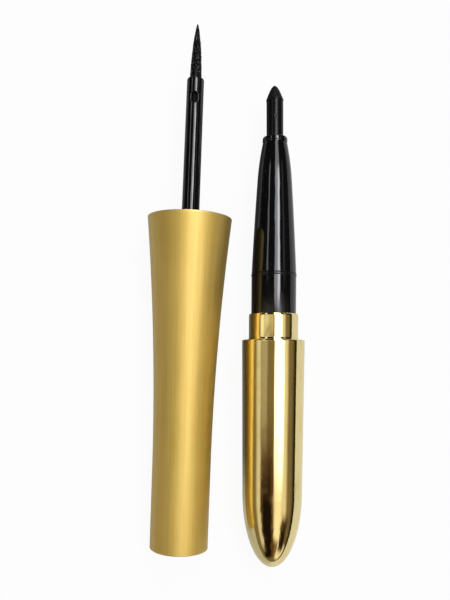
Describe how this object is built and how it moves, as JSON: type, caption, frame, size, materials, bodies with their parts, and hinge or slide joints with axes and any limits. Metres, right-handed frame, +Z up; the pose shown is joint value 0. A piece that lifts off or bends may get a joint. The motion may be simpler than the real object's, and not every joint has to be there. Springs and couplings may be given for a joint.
{
  "type": "liquid eyeliner pen",
  "caption": "Dual eyeliner pulled apart: felt-tip wand on a flared satin gold handle, and the twist-up gel pencil on a mirror-gold bullet base that plugs into it.",
  "frame": {"origin": "on the table plane, in the middle of the footprint of the two halves as they lie", "axes": "+Y from the handle's narrow end towards both tips, +X from the wand towards the pencil, +Z up off the table"},
  "size_m": [0.0308, 0.106, 0.0164],
  "materials": {
    "satin_gold": "satin gold anodised",
    "mirror_gold": "polished, mirror gold",
    "gloss_black": "gloss",
    "black_liner": "moulded, semi-matte",
    "black_felt": "dense felt wet with liner",
    "gel_black": "waxy gel, glossy side and matte point",
    "white_acetal": "moulded acetal",
    "soft_seal": "soft elastomer",
    "white_foam": "closed foam",
    "o_ring_rubber": "greased"
  },
  "bodies": {
    "handle": {"handle_sleeve": "satin_gold", "socket_liner": "black_liner", "seal_cup": "soft_seal", "wand_liner": "black_liner", "neck_gasket": "white_foam", "wand_stem": "gloss_black", "felt_tip": "black_felt"},
    "pencil": {"bullet_shell": "mirror_gold", "bullet_core": "black_liner", "collar_ring": "mirror_gold", "grip_sleeve": "gloss_black", "spiral_sleeve": "white_acetal", "tail_plug": "white_acetal"},
    "nose": {"nose_cone": "gloss_black", "guide_tube": "white_acetal", "twist_o_ring": "o_ring_rubber"},
    "lead": {"lead_carrier": "white_acetal", "gel_lead": "gel_black"}
  },
  "joints": [
    {"name": "pencil_pull", "type": "slide", "parent": "handle", "child": "pencil", "axis": [-0.0073, -0.9999, -0.0098], "range_m": [0, 0.095]},
    {"name": "nose_twist", "type": "hinge", "parent": "pencil", "child": "nose", "pos_m": [0.00934, 0.00507, 0.00633], "axis": [-0.0073, -0.9999, -0.0098], "range_deg": [-630.5, 870.5]},
    {"name": "lead_feed", "type": "slide", "parent": "nose", "child": "lead", "axis": [0.0073, 0.9999, 0.0098], "range_m": [-0.0105, 0.0145]}
  ],
  "couplings": [
    {"joint": "nose_twist", "follows": "lead_feed", "rad_per_m": 1047.2}
  ]
}
